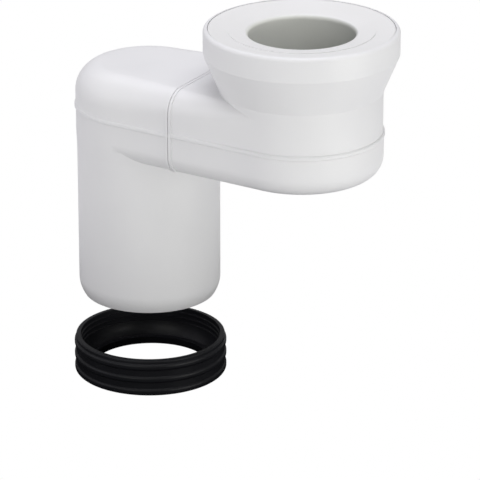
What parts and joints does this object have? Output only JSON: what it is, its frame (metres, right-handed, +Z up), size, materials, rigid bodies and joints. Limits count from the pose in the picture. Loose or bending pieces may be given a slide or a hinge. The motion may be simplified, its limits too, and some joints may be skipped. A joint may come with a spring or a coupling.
{
  "type": "offset bend",
  "caption": "White plastic offset connector for a toilet outlet: a ribbed black seal and a spigot below, a flat chamber, and a wide collar with a lip seal beside it.",
  "frame": {"origin": "centre of the spigot's lower end, on the spigot's axis", "axes": "+Z up along the spigot, from its free end to the chamber; +X from the spigot's axis to the collar's axis; the XZ plane is the mirror plane"},
  "size_m": [0.2672, 0.147, 0.3021],
  "materials": {
    "shell": "satin white moulded plastic",
    "white_seal": "smooth white soft plastic",
    "black_seal": "matt black rubber"
  },
  "bodies": {
    "root": {"outlet_shell": "shell", "inlet_shell": "shell", "inlet_seal": "white_seal", "outlet_seal": "black_seal"}
  },
  "joints": []
}
